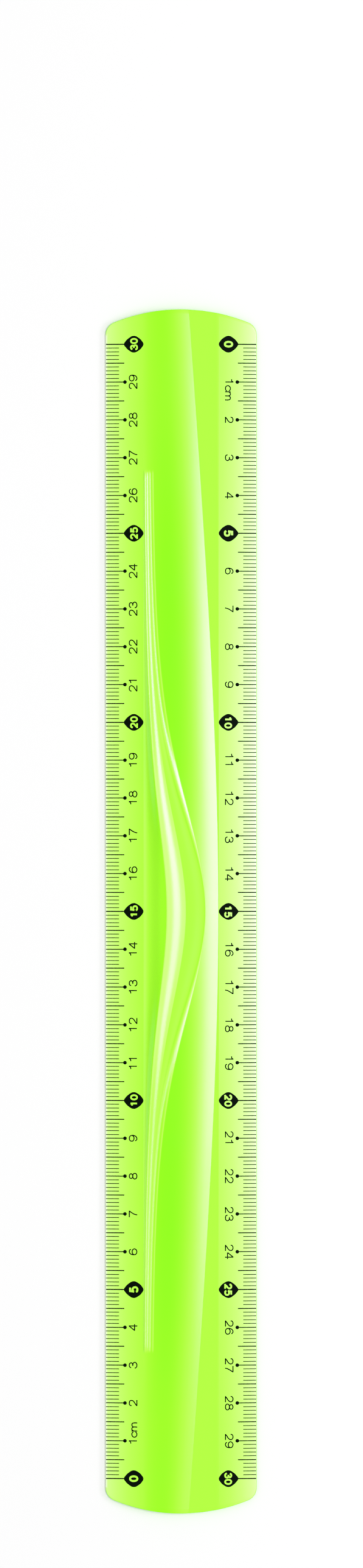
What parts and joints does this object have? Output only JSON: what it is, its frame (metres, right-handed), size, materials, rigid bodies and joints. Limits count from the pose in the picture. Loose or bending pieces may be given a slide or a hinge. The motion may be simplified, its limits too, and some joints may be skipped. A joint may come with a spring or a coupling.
{
  "type": "flexible ruler",
  "caption": "Flexible translucent plastic ruler, metric scales along both bevelled edges, raised grip wave, bends up or down along its whole length.",
  "frame": {"origin": "middle of the flat back, at mid-length and mid-width", "axes": "+Y along the ruler towards the end where the right-hand scale starts, +X across it towards the right-hand scale, +Z out of the printed face"},
  "size_m": [0.04, 0.3184, 0.0028],
  "materials": {
    "lime_plastic": "glossy translucent lime green, injection moulded"
  },
  "bodies": {
    "blade_cm_00": {"blade_cm_00": "lime_plastic"},
    "blade_cm_01": {"blade_cm_01": "lime_plastic"},
    "blade_cm_02": {"blade_cm_02": "lime_plastic"},
    "blade_cm_03": {"blade_cm_03": "lime_plastic"},
    "blade_cm_04": {"blade_cm_04": "lime_plastic"},
    "blade_cm_05": {"blade_cm_05": "lime_plastic"},
    "blade_cm_06": {"blade_cm_06": "lime_plastic"},
    "blade_cm_07": {"blade_cm_07": "lime_plastic"},
    "blade_cm_08": {"blade_cm_08": "lime_plastic"},
    "blade_cm_09": {"blade_cm_09": "lime_plastic"},
    "blade_cm_10": {"blade_cm_10": "lime_plastic"},
    "blade_cm_11": {"blade_cm_11": "lime_plastic"},
    "blade_cm_12": {"blade_cm_12": "lime_plastic"},
    "blade_cm_13": {"blade_cm_13": "lime_plastic"},
    "blade_cm_14": {"blade_cm_14": "lime_plastic"},
    "blade_cm_15": {"blade_cm_15": "lime_plastic"},
    "blade_cm_16": {"blade_cm_16": "lime_plastic"},
    "blade_cm_17": {"blade_cm_17": "lime_plastic"},
    "blade_cm_18": {"blade_cm_18": "lime_plastic"},
    "blade_cm_19": {"blade_cm_19": "lime_plastic"},
    "blade_cm_20": {"blade_cm_20": "lime_plastic"},
    "blade_cm_21": {"blade_cm_21": "lime_plastic"},
    "blade_cm_22": {"blade_cm_22": "lime_plastic"},
    "blade_cm_23": {"blade_cm_23": "lime_plastic"},
    "blade_cm_24": {"blade_cm_24": "lime_plastic"},
    "blade_cm_25": {"blade_cm_25": "lime_plastic"},
    "blade_cm_26": {"blade_cm_26": "lime_plastic"},
    "blade_cm_27": {"blade_cm_27": "lime_plastic"},
    "blade_cm_28": {"blade_cm_28": "lime_plastic"},
    "blade_cm_29": {"blade_cm_29": "lime_plastic"},
    "blade_cm_30": {"blade_cm_30": "lime_plastic"}
  },
  "joints": [
    {"name": "flex_middle", "type": "hinge", "parent": "blade_cm_15", "child": "blade_cm_16", "pos_m": [0, 0.005, 0.001], "axis": [1, 0, 0], "range_deg": [-11, 11], "stiffness_Nm_per_rad": 0.15},
    {"name": "flex_middle_16_17", "type": "hinge", "parent": "blade_cm_16", "child": "blade_cm_17", "pos_m": [0, 0.015, 0.001], "axis": [1, 0, 0], "range_deg": [-11, 11], "stiffness_Nm_per_rad": 0.15},
    {"name": "flex_middle_17_18", "type": "hinge", "parent": "blade_cm_17", "child": "blade_cm_18", "pos_m": [0, 0.025, 0.001], "axis": [1, 0, 0], "range_deg": [-11, 11], "stiffness_Nm_per_rad": 0.15},
    {"name": "flex_middle_18_19", "type": "hinge", "parent": "blade_cm_18", "child": "blade_cm_19", "pos_m": [0, 0.035, 0.001], "axis": [1, 0, 0], "range_deg": [-11, 11], "stiffness_Nm_per_rad": 0.15},
    {"name": "flex_middle_19_20", "type": "hinge", "parent": "blade_cm_19", "child": "blade_cm_20", "pos_m": [0, 0.045, 0.001], "axis": [1, 0, 0], "range_deg": [-11, 11], "stiffness_Nm_per_rad": 0.15},
    {"name": "flex_upper", "type": "hinge", "parent": "blade_cm_20", "child": "blade_cm_21", "pos_m": [0, 0.055, 0.001], "axis": [1, 0, 0], "range_deg": [-11, 11], "stiffness_Nm_per_rad": 0.15},
    {"name": "flex_upper_21_22", "type": "hinge", "parent": "blade_cm_21", "child": "blade_cm_22", "pos_m": [0, 0.065, 0.001], "axis": [1, 0, 0], "range_deg": [-11, 11], "stiffness_Nm_per_rad": 0.15},
    {"name": "flex_upper_22_23", "type": "hinge", "parent": "blade_cm_22", "child": "blade_cm_23", "pos_m": [0, 0.075, 0.001], "axis": [1, 0, 0], "range_deg": [-11, 11], "stiffness_Nm_per_rad": 0.15},
    {"name": "flex_upper_23_24", "type": "hinge", "parent": "blade_cm_23", "child": "blade_cm_24", "pos_m": [0, 0.085, 0.001], "axis": [1, 0, 0], "range_deg": [-11, 11], "stiffness_Nm_per_rad": 0.15},
    {"name": "flex_upper_24_25", "type": "hinge", "parent": "blade_cm_24", "child": "blade_cm_25", "pos_m": [0, 0.095, 0.001], "axis": [1, 0, 0], "range_deg": [-11, 11], "stiffness_Nm_per_rad": 0.15},
    {"name": "flex_upper_25_26", "type": "hinge", "parent": "blade_cm_25", "child": "blade_cm_26", "pos_m": [0, 0.105, 0.001], "axis": [1, 0, 0], "range_deg": [-11, 11], "stiffness_Nm_per_rad": 0.15},
    {"name": "flex_upper_26_27", "type": "hinge", "parent": "blade_cm_26", "child": "blade_cm_27", "pos_m": [0, 0.115, 0.001], "axis": [1, 0, 0], "range_deg": [-11, 11], "stiffness_Nm_per_rad": 0.15},
    {"name": "flex_upper_27_28", "type": "hinge", "parent": "blade_cm_27", "child": "blade_cm_28", "pos_m": [0, 0.125, 0.001], "axis": [1, 0, 0], "range_deg": [-11, 11], "stiffness_Nm_per_rad": 0.15},
    {"name": "flex_upper_28_29", "type": "hinge", "parent": "blade_cm_28", "child": "blade_cm_29", "pos_m": [0, 0.135, 0.001], "axis": [1, 0, 0], "range_deg": [-11, 11], "stiffness_Nm_per_rad": 0.15},
    {"name": "flex_upper_29_30", "type": "hinge", "parent": "blade_cm_29", "child": "blade_cm_30", "pos_m": [0, 0.145, 0.001], "axis": [1, 0, 0], "range_deg": [-11, 11], "stiffness_Nm_per_rad": 0.15},
    {"name": "flex_middle_14_15", "type": "hinge", "parent": "blade_cm_15", "child": "blade_cm_14", "pos_m": [0, -0.005, 0.001], "axis": [-1, 0, 0], "range_deg": [-11, 11], "stiffness_Nm_per_rad": 0.15},
    {"name": "flex_middle_13_14", "type": "hinge", "parent": "blade_cm_14", "child": "blade_cm_13", "pos_m": [0, -0.015, 0.001], "axis": [-1, 0, 0], "range_deg": [-11, 11], "stiffness_Nm_per_rad": 0.15},
    {"name": "flex_middle_12_13", "type": "hinge", "parent": "blade_cm_13", "child": "blade_cm_12", "pos_m": [0, -0.025, 0.001], "axis": [-1, 0, 0], "range_deg": [-11, 11], "stiffness_Nm_per_rad": 0.15},
    {"name": "flex_middle_11_12", "type": "hinge", "parent": "blade_cm_12", "child": "blade_cm_11", "pos_m": [0, -0.035, 0.001], "axis": [-1, 0, 0], "range_deg": [-11, 11], "stiffness_Nm_per_rad": 0.15},
    {"name": "flex_middle_10_11", "type": "hinge", "parent": "blade_cm_11", "child": "blade_cm_10", "pos_m": [0, -0.045, 0.001], "axis": [-1, 0, 0], "range_deg": [-11, 11], "stiffness_Nm_per_rad": 0.15},
    {"name": "flex_lower", "type": "hinge", "parent": "blade_cm_10", "child": "blade_cm_09", "pos_m": [0, -0.055, 0.001], "axis": [-1, 0, 0], "range_deg": [-11, 11], "stiffness_Nm_per_rad": 0.15},
    {"name": "flex_lower_08_09", "type": "hinge", "parent": "blade_cm_09", "child": "blade_cm_08", "pos_m": [0, -0.065, 0.001], "axis": [-1, 0, 0], "range_deg": [-11, 11], "stiffness_Nm_per_rad": 0.15},
    {"name": "flex_lower_07_08", "type": "hinge", "parent": "blade_cm_08", "child": "blade_cm_07", "pos_m": [0, -0.075, 0.001], "axis": [-1, 0, 0], "range_deg": [-11, 11], "stiffness_Nm_per_rad": 0.15},
    {"name": "flex_lower_06_07", "type": "hinge", "parent": "blade_cm_07", "child": "blade_cm_06", "pos_m": [0, -0.085, 0.001], "axis": [-1, 0, 0], "range_deg": [-11, 11], "stiffness_Nm_per_rad": 0.15},
    {"name": "flex_lower_05_06", "type": "hinge", "parent": "blade_cm_06", "child": "blade_cm_05", "pos_m": [0, -0.095, 0.001], "axis": [-1, 0, 0], "range_deg": [-11, 11], "stiffness_Nm_per_rad": 0.15},
    {"name": "flex_lower_04_05", "type": "hinge", "parent": "blade_cm_05", "child": "blade_cm_04", "pos_m": [0, -0.105, 0.001], "axis": [-1, 0, 0], "range_deg": [-11, 11], "stiffness_Nm_per_rad": 0.15},
    {"name": "flex_lower_03_04", "type": "hinge", "parent": "blade_cm_04", "child": "blade_cm_03", "pos_m": [0, -0.115, 0.001], "axis": [-1, 0, 0], "range_deg": [-11, 11], "stiffness_Nm_per_rad": 0.15},
    {"name": "flex_lower_02_03", "type": "hinge", "parent": "blade_cm_03", "child": "blade_cm_02", "pos_m": [0, -0.125, 0.001], "axis": [-1, 0, 0], "range_deg": [-11, 11], "stiffness_Nm_per_rad": 0.15},
    {"name": "flex_lower_01_02", "type": "hinge", "parent": "blade_cm_02", "child": "blade_cm_01", "pos_m": [0, -0.135, 0.001], "axis": [-1, 0, 0], "range_deg": [-11, 11], "stiffness_Nm_per_rad": 0.15},
    {"name": "flex_lower_00_01", "type": "hinge", "parent": "blade_cm_01", "child": "blade_cm_00", "pos_m": [0, -0.145, 0.001], "axis": [-1, 0, 0], "range_deg": [-11, 11], "stiffness_Nm_per_rad": 0.15}
  ],
  "couplings": [
    {"joint": "flex_middle_16_17", "follows": "flex_middle", "ratio": 1},
    {"joint": "flex_middle_17_18", "follows": "flex_middle", "ratio": 1},
    {"joint": "flex_middle_18_19", "follows": "flex_middle", "ratio": 1},
    {"joint": "flex_middle_19_20", "follows": "flex_middle", "ratio": 1},
    {"joint": "flex_upper_21_22", "follows": "flex_upper", "ratio": 1},
    {"joint": "flex_upper_22_23", "follows": "flex_upper", "ratio": 1},
    {"joint": "flex_upper_23_24", "follows": "flex_upper", "ratio": 1},
    {"joint": "flex_upper_24_25", "follows": "flex_upper", "ratio": 1},
    {"joint": "flex_upper_25_26", "follows": "flex_upper", "ratio": 1},
    {"joint": "flex_upper_26_27", "follows": "flex_upper", "ratio": 1},
    {"joint": "flex_upper_27_28", "follows": "flex_upper", "ratio": 1},
    {"joint": "flex_upper_28_29", "follows": "flex_upper", "ratio": 1},
    {"joint": "flex_upper_29_30", "follows": "flex_upper", "ratio": 1},
    {"joint": "flex_middle_14_15", "follows": "flex_middle", "ratio": 1},
    {"joint": "flex_middle_13_14", "follows": "flex_middle", "ratio": 1},
    {"joint": "flex_middle_12_13", "follows": "flex_middle", "ratio": 1},
    {"joint": "flex_middle_11_12", "follows": "flex_middle", "ratio": 1},
    {"joint": "flex_middle_10_11", "follows": "flex_middle", "ratio": 1},
    {"joint": "flex_lower_08_09", "follows": "flex_lower", "ratio": 1},
    {"joint": "flex_lower_07_08", "follows": "flex_lower", "ratio": 1},
    {"joint": "flex_lower_06_07", "follows": "flex_lower", "ratio": 1},
    {"joint": "flex_lower_05_06", "follows": "flex_lower", "ratio": 1},
    {"joint": "flex_lower_04_05", "follows": "flex_lower", "ratio": 1},
    {"joint": "flex_lower_03_04", "follows": "flex_lower", "ratio": 1},
    {"joint": "flex_lower_02_03", "follows": "flex_lower", "ratio": 1},
    {"joint": "flex_lower_01_02", "follows": "flex_lower", "ratio": 1},
    {"joint": "flex_lower_00_01", "follows": "flex_lower", "ratio": 1}
  ]
}
